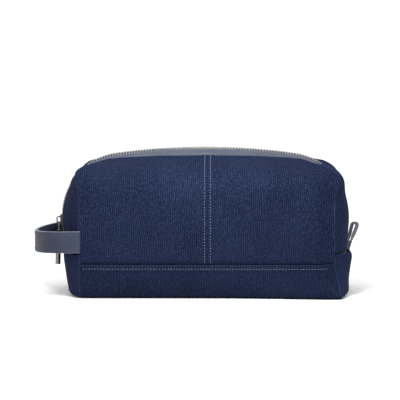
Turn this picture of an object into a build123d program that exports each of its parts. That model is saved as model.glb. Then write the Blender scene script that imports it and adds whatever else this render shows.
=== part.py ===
"""A soft-sided shaving kit bag: canvas body, leather-faced zip over the top, wrist strap and end tab.

Frame: +X along the bag (the strap is at -X), +Y towards the back, +Z up, millimetres.
The origin is the middle of the flat base. The bag stands closed, with the zip slider at the strap end.
"""

import math
import os

from build123d import *

# Overall form
CORNER_X, CORNER_Y = 115.5, 58.5  # the vertical corner seams
PLAN_END_X = 135.4  # the ends bow out to here in plan
BASE_HALF_X, BASE_HALF_Y = 121.0, 51.0
LOW_END_X, LOW_END_Z = 127.8, 6.0
END_SEAM_X, END_SEAM_Z = 131.6, 42.0  # the seam across each end, where the zip stops
BAND_Z = 31.0  # seam between the base band and the front and back panels
FOLD_Z = 72.0  # below this the ends of the mouth stay shut
WALL_FOLD_Z = 66.0  # the front and back fold outwards along this line
WALL_Y = 59.0
SHOULDER_Y, SHOULDER_Z = 50.0, 117.0

# The zip's line in the XZ plane: a short tail, an end arc and a shallow arch
END_ARC_R = 58.0
END_ARC_X, END_ARC_Z = 74.6, 70.8
ARCH_R = 610.0
TAIL_ANGLE = 6.0  # the tail leans in by this many degrees
PATH_TO_SKIN = 1.7  # from the line of the teeth out to the leather's face
ZIP_END_Z = 44.0

# Layers, from the outside in
CANVAS_T = 1.3
LOW_END_PROUD = 1.3
TAPE_FROM, TAPE_TO = 1.4, 2.0
LINING_FROM, LINING_TO = 2.4, 3.2
BOARD_Z, BOARD_T = 1.6, 1.5
BOARD_HALF_X, BOARD_HALF_Y = 116.0, 47.5
LINING_FLOOR_Z = 3.4
GAP = 0.3

# Widths across the zip, from its middle
TOOTH_IN, TOOTH_OUT = 0.65, 3.0
TAPE_IN, TAPE_OUT = 3.1, 11.0
FACING_IN, FACING_OUT = 5.0, 17.0
LINING_IN = 7.0

# Teeth and stops
PITCH = 2.6
TOOTH_L, TOOTH_H = 1.3, 2.6
STOP_L, STOP_H = 3.2, 2.8

# Zip slider and its pull
SLIDER_L, SLIDER_W = 11.0, 8.0
SLIDER_BELOW = 4.5  # degrees below the end arc's centre
WING_IN, WING_T = 1.75, 1.1
FLANGE_T, FLANGE_H = 0.8, 1.05
POST_T, POST_L = 0.7, 2.4
BAIL_L, BAIL_W, BAIL_H, BAIL_T = 8.2, 2.4, 3.8, 1.1
PIN_R, PIN_DOWN, PIN_OUT = 0.75, 1.9, 4.35
PULL_W, PULL_TAIL_W, PULL_T, PULL_L = 5.6, 6.4, 1.8, 39.0
PULL_SLOT_W, PULL_SLOT_L, PULL_HEAD = 3.1, 4.1, 0.8
PULL_LEAN = 4.7
GRIP_FROM, GRIP_T, GRIP_TIP = 17.0, 3.6, 1.0

# Wrist strap and end tab
STRAP_PIVOT_X, STRAP_REACH, STRAP_HALF_Y = 116.5, 40.0, 59.2
STRAP_BEND_Y = -12.0  # the loop's far bend hangs nearer the front
STRAP_Z0, STRAP_W, STRAP_LAYER_T = 42.4, 20.0, 1.4
STRAP_STUB_R, STRAP_CUT_R = 12.8, 13.2
TAB_PIVOT_X, TAB_PIVOT_Z, TAB_ROOT_R = 134.2, 44.3, 1.9
TAB_W, TAB_T, TAB_L, TAB_HEAD_R, TAB_LEAN = 12.0, 1.8, 27.0, 3.7, 16.0
TAB_FOLD_UP, TAB_FOLD_R = 5.0, 0.15

FAR = 200.0  # longer than half the bag, for cutting regions
PARTS = "parts"
SIDES = (("front", -1), ("back", 1))
ENDS = (("left", -1), ("right", 1))


# ---------------------------------------------------------------- the zip's line


def arch_angle():
    """Degrees from upright at which the end arc meets the arch."""
    return math.degrees(math.asin(END_ARC_X / (ARCH_R - END_ARC_R)))


def arch_centre_z():
    rise = (ARCH_R - END_ARC_R) * math.cos(math.radians(arch_angle()))
    return END_ARC_Z - rise


def zip_lengths():
    """Lengths of half the arch, one end arc and one tail."""
    half_arch = math.radians(arch_angle()) * ARCH_R
    end_arc = math.radians(90 + TAIL_ANGLE - arch_angle()) * END_ARC_R
    low_z = END_ARC_Z - END_ARC_R * math.sin(math.radians(TAIL_ANGLE))
    tail = (low_z - ZIP_END_Z) / math.cos(math.radians(TAIL_ANGLE))
    return half_arch, end_arc, tail


def zip_place(s):
    """The plane at s along the zip from the middle of the top: +X along it, +Z out of the bag."""
    half_arch, end_arc, _ = zip_lengths()
    side = 1 if s >= 0 else -1
    s = abs(s)
    if s <= half_arch:
        turn = s / ARCH_R
        x, z = ARCH_R * math.sin(turn), arch_centre_z() + ARCH_R * math.cos(turn)
    else:
        down = max(0.0, s - half_arch - end_arc)
        turn = math.radians(arch_angle()) + (s - down - half_arch) / END_ARC_R
        x = END_ARC_X + END_ARC_R * math.sin(turn) + down * math.cos(turn)
        z = END_ARC_Z + END_ARC_R * math.cos(turn) - down * math.sin(turn)
    along = (math.cos(turn), 0, -side * math.sin(turn))
    out = (side * math.sin(turn), 0, math.cos(turn))
    return Plane(origin=(side * x, 0, z), x_dir=along, z_dir=out)


# ---------------------------------------------------------------- the bag's form


def side_outline(inset):
    """The bag seen from the front: flat base, nearly upright ends and the zip's arch."""
    skin_r = END_ARC_R + PATH_TO_SKIN
    top_z = arch_centre_z() + ARCH_R + PATH_TO_SKIN
    tail, join = math.radians(TAIL_ANGLE), math.radians(arch_angle())
    middle = math.radians((90 - arch_angle() - TAIL_ANGLE) / 2)
    start = (-END_ARC_X - skin_r * math.cos(tail), END_ARC_Z - skin_r * math.sin(tail))
    centre = (-END_ARC_X - skin_r * math.cos(middle), END_ARC_Z + skin_r * math.sin(middle))
    knee = (-END_ARC_X - skin_r * math.sin(join), END_ARC_Z + skin_r * math.cos(join))
    with BuildSketch(Plane.XZ) as outline:
        with BuildLine():
            Polyline((0, 0), (-BASE_HALF_X, 0), (-LOW_END_X, LOW_END_Z), (-END_SEAM_X, END_SEAM_Z), start)
            ThreePointArc(start, centre, knee)
            ThreePointArc(knee, (0, top_z), (-knee[0], knee[1]))
            mirror(about=Plane.YZ)
        make_face()
        if inset:
            offset(amount=-inset, mode=Mode.REPLACE)
    return outline.sketch


def end_outline(inset):
    """The bag seen from the end: walls, shoulders and the roof falling away from the zip."""
    top_z = arch_centre_z() + ARCH_R + PATH_TO_SKIN
    with BuildSketch(Plane.YZ) as outline:
        with BuildLine():
            Polyline(
                (0, 0),
                (-BASE_HALF_Y, 0),
                (-WALL_Y + 2, 9),
                (-WALL_Y, 45),
                (-WALL_Y, 101),
                (-SHOULDER_Y, SHOULDER_Z),
                (0, top_z),
            )
            mirror(about=Plane.YZ)
        make_face()
        if inset:
            offset(amount=-inset, kind=Kind.INTERSECTION, mode=Mode.REPLACE)
    return outline.sketch


def plan_outline(inset):
    """The bag seen from above: straight walls and bowed ends."""
    with BuildSketch(Plane.XY) as outline:
        with BuildLine():
            Polyline((0, -WALL_Y - 1), (CORNER_X, -WALL_Y - 1), (CORNER_X, -CORNER_Y))
            ThreePointArc((CORNER_X, -CORNER_Y), (PLAN_END_X, 0), (CORNER_X, CORNER_Y))
            Polyline((CORNER_X, CORNER_Y), (CORNER_X, WALL_Y + 1), (0, WALL_Y + 1))
            mirror(about=Plane.YZ)
        make_face()
        if inset:
            offset(amount=-inset, kind=Kind.INTERSECTION, mode=Mode.REPLACE)
    return outline.sketch


def bag_form(inset):
    """The whole bag as one solid, moved in by inset: the three outlines crossed."""
    with BuildPart() as form:
        extrude(side_outline(inset), amount=FAR, both=True)
        extrude(end_outline(inset), amount=FAR, both=True, mode=Mode.INTERSECT)
        extrude(plan_outline(inset), amount=FAR, both=True, mode=Mode.INTERSECT)
    return form.part


def roofed_block(inset):
    """Everything inside the walls and roof, without the ends."""
    with BuildPart() as block:
        extrude(end_outline(inset), amount=FAR, both=True)
    return block.part


def region(x_from, x_to, y_from, y_to, z_from, z_to, mode=Mode.INTERSECT):
    """Keep, or with another mode take away or add, one upright block of space."""
    with Locations(((x_from + x_to) / 2, (y_from + y_to) / 2, (z_from + z_to) / 2)):
        Box(x_to - x_from, y_to - y_from, z_to - z_from, mode=mode)


def band(side, near, far):
    """The Y range between near and far from the middle, on one side, a little short of both."""
    low, high = near + GAP / 2, far - GAP / 2
    return (low, high) if side > 0 else (-high, -low)


def beyond(end, near):
    """The X range past near, towards one end."""
    return (near, FAR) if end > 0 else (-FAR, -near)


def save(piece, name):
    piece.part.label = name
    export_step(piece.part, f"{PARTS}/{name}.step")


# ---------------------------------------------------------------- pieces made of cloth and leather


def wall_panel(side, end, z_from, z_to):
    """Half of the front or back, from the centre seam to one corner, between two heights."""
    x_range = (GAP / 2, CORNER_X) if end > 0 else (-CORNER_X, -GAP / 2)
    with BuildPart() as panel:
        add(OUTER_FORM)
        add(ROOFED, mode=Mode.SUBTRACT)
        region(*x_range, *band(side, FACING_OUT, FAR), z_from + GAP / 2, z_to - GAP / 2)
    return panel


def end_panel(side, end, z_from, z_to):
    """One quarter of the ends' canvas, between the facing and a corner seam."""
    with BuildPart() as panel:
        add(CANVAS)
        add(ROOFED_CLEAR, mode=Mode.INTERSECT)
        region(*beyond(end, FACING_OUT), *band(side, FACING_OUT, FAR), z_from + GAP / 2, z_to - GAP / 2)
    return panel


def strip(layer, side, near, far, x_range, z_from, z_to):
    """A strip of one layer that follows the zip, on one side of it."""
    with BuildPart() as piece:
        add(layer)
        region(*x_range, *band(side, near, far), z_from + GAP / 2, z_to - GAP / 2)
    return piece


def teeth(rows, places):
    """Separate teeth, one row each side of the zip's middle, half a pitch out of step."""
    width = TOOTH_OUT - TOOTH_IN
    with BuildPart() as group:
        for side in rows:
            across = side * (TOOTH_IN + TOOTH_OUT) / 2
            for s in places:
                with Locations(zip_place(s + side * PITCH / 4)):
                    with Locations((0, across, 0)):
                        Box(TOOTH_L, width, TOOTH_H)
    return group


def lining_half(side):
    """The lining that moves with one side of the mouth."""
    with BuildPart() as lining:
        add(LINING)
        with BuildPart(mode=Mode.PRIVATE) as moving:
            mouth_space(side, 0)
        add(moving.part, mode=Mode.INTERSECT)
    return lining


def mouth_space(side, grow):
    """The space whose lining moves with one side: its wall and the ends, each above its fold."""
    wall = WALL_Y - LINING_TO - 0.9
    y_wall = (wall - grow, FAR) if side > 0 else (-FAR, -wall + grow)
    y_top = (LINING_IN - grow, FAR) if side > 0 else (-FAR, -LINING_IN + grow)
    half = CORNER_X - LINING_TO - 0.5 + grow
    region(-half, half, *y_wall, WALL_FOLD_Z + GAP / 2 - grow, FAR, mode=Mode.ADD)
    region(-FAR, FAR, *y_top, FOLD_Z + GAP / 2 - grow, FAR, mode=Mode.ADD)


# ---------------------------------------------------------------- build

os.makedirs(PARTS, exist_ok=True)

OUTER_FORM = bag_form(0)
ROOFED = roofed_block(CANVAS_T)
ROOFED_CLEAR = roofed_block(CANVAS_T + GAP)

with BuildPart() as canvas_layer:
    add(OUTER_FORM)
    add(bag_form(CANVAS_T), mode=Mode.SUBTRACT)
CANVAS = canvas_layer.part

with BuildPart() as tape_layer:
    add(bag_form(TAPE_FROM))
    add(bag_form(TAPE_TO), mode=Mode.SUBTRACT)
TAPE = tape_layer.part

with BuildPart() as lining_layer:
    add(bag_form(LINING_FROM))
    region(-FAR, FAR, -FAR, FAR, LINING_FLOOR_Z, FAR)
    with BuildPart(mode=Mode.PRIVATE) as hollow:
        add(bag_form(LINING_TO))
        region(-FAR, FAR, -FAR, FAR, LINING_FLOOR_Z + LINING_TO - LINING_FROM, FAR)
    add(hollow.part, mode=Mode.SUBTRACT)
LINING = lining_layer.part

# The base: band, stiffening board and lining
with BuildPart() as base_band:
    add(CANVAS)
    region(-CORNER_X + GAP / 2, CORNER_X - GAP / 2, -FAR, FAR, 0, BAND_Z - GAP / 2)
save(base_band, "base_band")

with BuildPart() as base_board:
    with Locations((0, 0, BOARD_Z + BOARD_T / 2)):
        Box(2 * BOARD_HALF_X, 2 * BOARD_HALF_Y, BOARD_T)
    fillet(base_board.edges().filter_by(Axis.Z), 12)
save(base_board, "base_board")

with BuildPart() as lining_base:
    add(LINING)
    with BuildPart(mode=Mode.PRIVATE) as moving_space:
        mouth_space(-1, GAP)
        mouth_space(1, GAP)
        region(-FAR, FAR, -LINING_IN, LINING_IN, ZIP_END_Z, FAR, mode=Mode.ADD)
    add(moving_space.part, mode=Mode.SUBTRACT)
save(lining_base, "lining_base")

# The lower ends stand a little proud of the panels above them
with BuildPart() as proud_layer:
    add(bag_form(-LOW_END_PROUD))
    add(bag_form(CANVAS_T), mode=Mode.SUBTRACT)
for end_name, end in ENDS:
    with BuildPart() as end_lower:
        add(proud_layer.part)
        region(*beyond(end, CORNER_X + GAP / 2), -FAR, FAR, 0, END_SEAM_Z - GAP / 2)
    save(end_lower, f"end_lower_{end_name}")

# Each side of the mouth: two wall panels, two upper end panels, facing, tape and lining
for side_name, side in SIDES:
    for end_name, end in ENDS:
        save(wall_panel(side, end, WALL_FOLD_Z, FAR), f"{side_name}_panel_{end_name}")
        save(wall_panel(side, end, BAND_Z, WALL_FOLD_Z), f"{side_name}_panel_low_{end_name}")
        save(end_panel(side, end, FOLD_Z, FAR), f"end_panel_{side_name}_{end_name}")
        save(end_panel(side, end, END_SEAM_Z, FOLD_Z), f"end_panel_low_{side_name}_{end_name}")
        reach = beyond(end, FACING_OUT)
        low_facing = strip(CANVAS, side, FACING_IN, FACING_OUT, reach, END_SEAM_Z, FOLD_Z)
        save(low_facing, f"zip_facing_low_{side_name}_{end_name}")
        low_tape = strip(TAPE, side, TAPE_IN, TAPE_OUT, reach, ZIP_END_Z, FOLD_Z)
        save(low_tape, f"zip_tape_low_{side_name}_{end_name}")
    everywhere = (-FAR, FAR)
    save(strip(CANVAS, side, FACING_IN, FACING_OUT, everywhere, FOLD_Z, FAR), f"zip_facing_{side_name}")
    save(strip(TAPE, side, TAPE_IN, TAPE_OUT, everywhere, FOLD_Z, FAR), f"zip_tape_{side_name}")
    save(lining_half(side), f"lining_{side_name}")

# Teeth: a long row on each side of the mouth, and short double rows where the ends stay shut
half_arch, end_arc, tail = zip_lengths()
fold_s = half_arch + math.radians(90 - arch_angle()) * END_ARC_R - (FOLD_Z - END_ARC_Z)
top_teeth = [i * PITCH for i in range(-200, 200) if abs(i * PITCH) < fold_s - 2.0]
end_teeth = [i * PITCH for i in range(200) if fold_s + 1.5 < i * PITCH < half_arch + end_arc + tail - 4]
save(teeth([-1], top_teeth), "zip_teeth_front")
save(teeth([1], top_teeth), "zip_teeth_back")
save(teeth([-1, 1], end_teeth), "zip_teeth_low_right")
save(teeth([-1, 1], [-s for s in end_teeth]), "zip_teeth_low_left")

with BuildPart() as zip_stops:
    for s in (half_arch + end_arc + tail - 1.8, -half_arch - end_arc - tail + 1.8):
        with Locations(zip_place(s)):
            with Locations((0, -1.9, 0), (0, 1.9, 0)):
                Box(STOP_L, 2.6, STOP_H)
save(zip_stops, "zip_stops")

# ---------------------------------------------------------------- slider and pull

slider_s = -half_arch - math.radians(90 + SLIDER_BELOW - arch_angle()) * END_ARC_R
slider_place = zip_place(slider_s)
half_turn = math.degrees(SLIDER_L / 2 / END_ARC_R)
arc_centre = (-END_ARC_X, 0, END_ARC_Z)
low_turn = math.radians(SLIDER_BELOW + half_turn)
section_out = (-math.cos(low_turn), 0, -math.sin(low_turn))
section_along = (-math.sin(low_turn), 0, math.cos(low_turn))
section = Plane(origin=arc_centre, x_dir=section_out, z_dir=section_along)

with BuildPart() as slider_body:
    with BuildSketch(section):
        for sign in (-1, 1):
            wing_mid = END_ARC_R + sign * (WING_IN + WING_T / 2)
            flange_mid = END_ARC_R + sign * (WING_IN - FLANGE_H / 2)
            with Locations((wing_mid, 0)):
                Rectangle(WING_T, SLIDER_W)
            edge = SLIDER_W / 2 - FLANGE_T / 2
            with Locations((flange_mid, -edge), (flange_mid, edge)):
                Rectangle(FLANGE_H, FLANGE_T)
    revolve(axis=Axis(arc_centre, (0, 1, 0)), revolution_arc=2 * half_turn)
    with BuildSketch(section):
        with Locations((END_ARC_R, 0)):
            Rectangle(2 * WING_IN + WING_T, POST_T)
    revolve(axis=Axis(arc_centre, (0, 1, 0)), revolution_arc=math.degrees(POST_L / END_ARC_R))
save(slider_body, "slider_body")

bail_plane = Plane(origin=slider_place.origin, x_dir=slider_place.x_dir, z_dir=(0, -1, 0))
wing_top = WING_IN + WING_T - 0.05
with BuildPart() as slider_bail:
    with BuildSketch(bail_plane):
        with BuildLine():
            Polyline(
                (-BAIL_L / 2, wing_top),
                (-BAIL_L / 2, wing_top + BAIL_H - 1.2),
                (-BAIL_L / 2 + 1.4, wing_top + BAIL_H),
                (BAIL_L / 2 - 1.4, wing_top + BAIL_H),
                (BAIL_L / 2, wing_top + BAIL_H - 1.2),
                (BAIL_L / 2, wing_top),
                close=True,
            )
        make_face()
        with Locations((0, wing_top + (BAIL_H - BAIL_T) / 2)):
            Rectangle(BAIL_L - 2 * BAIL_T, BAIL_H - BAIL_T, mode=Mode.SUBTRACT)
    extrude(amount=BAIL_W / 2, both=True)
save(slider_bail, "slider_bail")

pin = bail_plane.from_local_coords(Vector(-PIN_DOWN, PIN_OUT, 0))
lean = math.radians(PULL_LEAN)
pull_plane = Plane(origin=pin, x_dir=(0, 1, 0), z_dir=(-math.cos(lean), 0, math.sin(lean)))
with BuildPart() as pull_tab:
    with BuildSketch(pull_plane):
        with BuildLine():
            Polyline(
                (-PULL_W / 2, -PULL_HEAD),
                (PULL_W / 2, -PULL_HEAD),
                (PULL_W / 2, PULL_SLOT_L + 2),
                (PULL_TAIL_W / 2, PULL_L - 8),
                (PULL_TAIL_W / 2, PULL_L),
                (-PULL_TAIL_W / 2, PULL_L),
                (-PULL_TAIL_W / 2, PULL_L - 8),
                (-PULL_W / 2, PULL_SLOT_L + 2),
                close=True,
            )
        make_face()
        fillet(vertices().group_by(Axis.Z)[0], 2.4)
        with Locations((0, (PULL_SLOT_L - 2.5) / 2)):
            Rectangle(PULL_SLOT_W, PULL_SLOT_L + 2.5, mode=Mode.SUBTRACT)
    extrude(amount=PULL_T / 2, both=True)
    with Locations(Plane(origin=pin, x_dir=(1, 0, 0), z_dir=(0, 1, 0))):
        Cylinder(PIN_R, PULL_W)
    with BuildSketch(Plane(origin=pin, x_dir=pull_plane.y_dir, z_dir=(0, 1, 0))):
        with BuildLine():
            Polyline(
                (GRIP_FROM, 0),
                (GRIP_FROM, PULL_T / 2),
                (GRIP_FROM + 3, GRIP_T / 2),
                (PULL_L - GRIP_TIP, GRIP_T / 2),
                (PULL_L, GRIP_T / 2 - GRIP_TIP),
                (PULL_L, 0),
            )
            mirror(about=Plane.XZ)
        make_face()
    extrude(amount=PULL_TAIL_W / 2, both=True)
save(pull_tab, "pull_tab")

# ---------------------------------------------------------------- wrist strap

strap_mid_z = STRAP_Z0 + STRAP_W / 2
strap_axis = Plane(origin=(-STRAP_PIVOT_X, 0, strap_mid_z), x_dir=(1, 0, 0), z_dir=(0, 1, 0))


def strap_band(near, far):
    """The loop of strap between two offsets from its middle line: a quarter ellipse in front, another behind."""
    with BuildPart() as loop:
        for _, side in SIDES:
            half_y = STRAP_HALF_Y - side * STRAP_BEND_Y
            with BuildSketch(Plane.XY.offset(STRAP_Z0)):
                with Locations((-STRAP_PIVOT_X, STRAP_BEND_Y)):
                    Ellipse(STRAP_REACH + far, half_y + far)
                    Ellipse(STRAP_REACH + near, half_y + near, mode=Mode.SUBTRACT)
                with Locations((-STRAP_PIVOT_X, STRAP_BEND_Y - side * FAR / 2)):
                    Rectangle(FAR, FAR, mode=Mode.SUBTRACT)
            extrude(amount=STRAP_W)
        region(-FAR, -CORNER_X - GAP, -FAR, FAR, 0, FAR)
    return loop.part


for name, near, far in (("strap_inner", -STRAP_LAYER_T, -0.05), ("strap_outer", 0.05, STRAP_LAYER_T)):
    with BuildPart() as strap_layer:
        add(strap_band(near, far))
        with Locations(strap_axis):
            Cylinder(STRAP_CUT_R, FAR, mode=Mode.SUBTRACT)
    save(strap_layer, name)

for side_name, side in SIDES:
    with BuildPart() as strap_anchor:
        add(strap_band(-STRAP_LAYER_T, STRAP_LAYER_T))
        with Locations(strap_axis):
            Cylinder(STRAP_STUB_R, FAR, mode=Mode.INTERSECT)
        region(-FAR, FAR, *band(side, 0, FAR), 0, FAR)
    save(strap_anchor, f"strap_anchor_{side_name}")

# ---------------------------------------------------------------- end tab: a strip folded into a loop

tab_lean = math.radians(TAB_LEAN)
tab_up = (math.sin(tab_lean), 0, math.cos(tab_lean))
tab_plane = Plane(origin=(TAB_PIVOT_X, 0, TAB_PIVOT_Z), x_dir=tab_up, z_dir=(0, 1, 0))
head_up = TAB_L - TAB_ROOT_R - TAB_HEAD_R
with BuildPart() as tab_loop:
    with BuildSketch(tab_plane):
        Circle(TAB_ROOT_R)
        with Locations((head_up, 0)):
            Circle(TAB_HEAD_R)
        make_hull()
        with BuildSketch(tab_plane, mode=Mode.SUBTRACT):
            with Locations((TAB_FOLD_UP, 0)):
                Circle(TAB_FOLD_R)
            with Locations((head_up, 0)):
                Circle(TAB_HEAD_R - TAB_T)
            make_hull()
    extrude(amount=TAB_W / 2, both=True)
save(tab_loop, "tab_loop")
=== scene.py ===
"""Looks for the shaving kit bag: canvas panels, leather facings, zip, wrist strap and end tab.

Lengths in the shape functions are millimetres, in the frame of the CAD; meshes are made in metres.
"""
import math

import bmesh
import bpy
import numpy as np
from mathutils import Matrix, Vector


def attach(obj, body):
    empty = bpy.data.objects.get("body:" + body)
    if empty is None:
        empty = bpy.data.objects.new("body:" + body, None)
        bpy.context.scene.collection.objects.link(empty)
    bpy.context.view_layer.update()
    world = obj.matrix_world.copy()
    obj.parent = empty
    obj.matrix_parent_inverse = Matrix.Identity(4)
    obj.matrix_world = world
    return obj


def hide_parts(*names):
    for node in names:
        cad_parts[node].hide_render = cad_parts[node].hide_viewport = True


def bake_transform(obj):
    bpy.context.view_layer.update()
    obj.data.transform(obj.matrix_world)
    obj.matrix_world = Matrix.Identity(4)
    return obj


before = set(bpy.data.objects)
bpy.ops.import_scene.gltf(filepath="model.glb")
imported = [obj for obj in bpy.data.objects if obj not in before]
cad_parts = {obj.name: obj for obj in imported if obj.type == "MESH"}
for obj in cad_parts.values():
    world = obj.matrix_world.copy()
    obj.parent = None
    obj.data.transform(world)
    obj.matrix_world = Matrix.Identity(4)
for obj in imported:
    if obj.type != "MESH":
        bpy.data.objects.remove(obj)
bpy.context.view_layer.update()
rng = np.random.default_rng(7)

BASE, FRONT, BACK = "bag_base", "front_half", "back_half"
SIDE_NAME = {-1: "front", 1: "back"}
END_NAME = {-1: "left", 1: "right"}

# -------------------- dimensions shared with the CAD

ARC_R, ARC_X, ARC_Z, ARCH_R, TAIL = 58.0, 74.6, 70.8, 610.0, math.radians(6.0)
SKIN = 1.7
JOIN = math.asin(ARC_X / (ARCH_R - ARC_R))
ARCH_Z = ARC_Z - (ARCH_R - ARC_R) * math.cos(JOIN)
HALF_ARCH = JOIN * ARCH_R
ARC_LEN = (math.pi / 2 + TAIL - JOIN) * ARC_R
ZIP_END_Z = 38.5
TAIL_LEN = (ARC_Z - ARC_R * math.sin(TAIL) - ZIP_END_Z) / math.cos(TAIL)
ZIP_HALF = HALF_ARCH + ARC_LEN + TAIL_LEN
BAND_Z = 31.0
FACING_IN, FACING_OUT = 4.9, 17.0
PITCH = 2.6
CANVAS_T = 1.6
HALF_WIDTH = 113.0

# -------------------- small numeric helpers


def ease(t):
    t = np.clip(t, 0.0, 1.0)
    return t * t * (3 - 2 * t)


def curve(points, step=0.5):
    """A smooth curve through given points, sampled densely."""
    p = np.array(points, float)
    p = np.vstack([2 * p[0] - p[1], p, 2 * p[-1] - p[-2]])
    out = []
    for a, b, c, d in zip(p[:-3], p[1:-2], p[2:-1], p[3:]):
        n = max(2, int(np.linalg.norm(c - b) / step))
        t = np.linspace(0, 1, n, endpoint=False)[:, None]
        square, cube = (2 * a - 5 * b + 4 * c - d) * t**2, (3 * b - a - 3 * c + d) * t**3
        out.append(0.5 * (2 * b + (c - a) * t + square + cube))
    out.append(p[-2:-1])
    return np.vstack(out)


def lengths(p):
    return np.concatenate([[0], np.cumsum(np.linalg.norm(np.diff(p, axis=0), axis=1))])


def samples(length, step, edges=(True, True), extra=()):
    """Positions from 0 to length: about step apart, closer at rounded edges and wherever extra asks."""
    marks = set(np.linspace(0, length, max(3, int(length / step) + 1)))
    near = (0.18, 0.45, 0.8, 1.2, 1.7, 2.4, 3.3)
    if edges[0]:
        marks |= {a for a in near if a < length / 2}
    if edges[1]:
        marks |= {length - a for a in near if a < length / 2}
    marks |= {a for a in extra if 0 < a < length}
    marks = sorted(marks)
    kept = [marks[0]]
    for m in marks[1:]:
        if m - kept[-1] > 0.12:
            kept.append(m)
    kept[-1] = length
    return np.array(kept)


def softly_above_zero(a, k=0.6):
    return 0.5 * (a + np.sqrt(a * a + k * k))


def lumps(p, size, seed):
    """Smooth undulation from a few sine waves, the same on every run."""
    r = np.random.default_rng(seed)
    total = np.zeros(p.shape[:-1])
    for _ in range(9):
        k = r.normal(size=3)
        k *= 2 * math.pi / (size * r.uniform(0.6, 1.6)) / np.linalg.norm(k)
        total += np.sin(p @ k + r.uniform(0, 6.28))
    return total / 4.0


# -------------------- the bag's surfaces

# Half of the end view, from the middle of the base out, up the wall and over to the zip: (|y|, z)
PROFILE = curve(
    [(0, 0), (25, 0), (46, 0.0), (51.5, 1.0), (55.2, 4.2), (57.3, 10), (58.4, 19), (59.0, 31)]
    + [(59.4, 50), (59.6, 70), (59.3, 86), (57.9, 98), (54.6, 107), (48.6, 114), (40, 119.2)]
    + [(29, 124.2), (17, 128.8), (7, 132.6), (0, 134.8)]
)
PROFILE_Q = lengths(PROFILE)
WALL = PROFILE[:, 1] > 8.0
TOP_Q = float(np.interp(-FACING_OUT, -PROFILE[PROFILE[:, 1] > 100][:, 0], PROFILE_Q[PROFILE[:, 1] > 100]))


def profile_q(z):
    """Where along the end view's outline a height lies, on the wall or shoulder."""
    return np.interp(z, PROFILE[WALL][:, 1], PROFILE_Q[WALL])


def profile_y(q):
    return np.interp(q, PROFILE_Q, PROFILE[:, 0])


def profile_z(q):
    return np.interp(q, PROFILE_Q, PROFILE[:, 1])


def wall_y(z):
    return np.interp(z, PROFILE[WALL][:, 1], PROFILE[WALL][:, 0])


def roof_z(y):
    roof = PROFILE[PROFILE[:, 1] > 100]
    return np.interp(-np.abs(y), -roof[:, 0], roof[:, 1])


def corner_x(end, z):
    """Where the vertical corner seams run. The right one flares out at its foot."""
    z = np.asarray(z, float)
    if end < 0:
        return 113.4 + 2.4 * ease((z - 94) / 20)
    return 117.2 + 6.6 * ease((40 - z) / 46) ** 1.3


def corner_back(end, z):
    """How far the front rolls back towards its corner seam."""
    fade = 1 - ease((np.asarray(z, float) - 104) / 22)
    return (1.2 if end < 0 else 4.6) * fade


def zip_line(s):
    """Point and outward direction in the XZ plane at s along the zip; negative s is the strap end."""
    s = np.asarray(s, float)
    side, a = np.where(s < 0, -1.0, 1.0), np.abs(s)
    arch = a <= HALF_ARCH
    down = np.maximum(0.0, a - HALF_ARCH - ARC_LEN)
    turn = np.where(arch, a / ARCH_R, JOIN + (np.minimum(a, HALF_ARCH + ARC_LEN) - HALF_ARCH) / ARC_R)
    x = np.where(arch, ARCH_R * np.sin(turn), ARC_X + ARC_R * np.sin(turn)) + down * np.cos(turn)
    z = np.where(arch, ARCH_Z + ARCH_R * np.cos(turn), ARC_Z + ARC_R * np.cos(turn)) - down * np.sin(turn)
    return side * x, z, side * np.sin(turn), np.cos(turn)


# How far the sewn top edges stand above or below a plain arch, from the middle out to the pulled-up corners
EDGE_LIFT = curve(
    [(0, -1.2), (40, -1.7), (62, -2.6), (76, -3.4), (88, -3.8)]
    + [(96, -2.9), (105, -0.7), (112, 1.5), (124, 2.2)]
)
EAR_OUT = {-1: 2.6, 1: 4.6}
FOOT_SPREAD = 8.0
SEAM_ASIDE = 2.4  # the front's centre seam has worked a little off centre


def settle(p):
    """The stuffed bag's top edges slump along the middle and its corners stand out as soft ears."""
    x, y, z = p[..., 0], p[..., 1], p[..., 2]
    away = ease((np.abs(y) - 4.0) / 13.0)
    lift = np.interp(np.abs(x), EDGE_LIFT[:, 0], EDGE_LIFT[:, 1]) * ease((z - 92.0) / 30.0) * away
    corner_lift = np.where(y < 0, -0.5, 0.3) * np.where(x < 0, 1.0, 2.6)
    corner_lift = corner_lift * np.exp(-(((np.abs(x) - 102) / 9) ** 2)) * ease((z - 92.0) / 24.0)
    lift = lift + corner_lift * away
    ear = np.exp(-(((np.abs(x) - 121) / 12) ** 2) - ((z - 107) / 10) ** 2) * ease((np.abs(y) - 12) / 22)
    out = np.where(x < 0, EAR_OUT[-1], EAR_OUT[1]) * ear
    aside = SEAM_ASIDE * (1 - ease(np.abs(x) / 105)) * ease((-y - 8) / 8)
    return np.stack([x + np.sign(x) * out + aside, y + np.sign(y) * 0.7 * ear, z + lift], axis=-1)


SKIN_TABLE = np.linspace(ZIP_HALF, 0.0, 1500)
SKIN_X, SKIN_Z = (line + SKIN * out for line, out in zip(zip_line(SKIN_TABLE)[:2], zip_line(SKIN_TABLE)[2:]))


def skin_x(z):
    """How far out the skin over the zip lies at a height."""
    return np.interp(z, SKIN_Z, SKIN_X)


def edge_x(end, z):
    """The edge between the front or back and an end: the corner seam, then over the top along the skin."""
    z = np.asarray(z, float)
    corner = corner_x(end, z)
    return np.where(z < 80, corner, corner - softly_above_zero(corner - skin_x(z), 0.9))


def edge_y(end, z):
    return wall_y(z) - corner_back(end, z)


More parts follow.
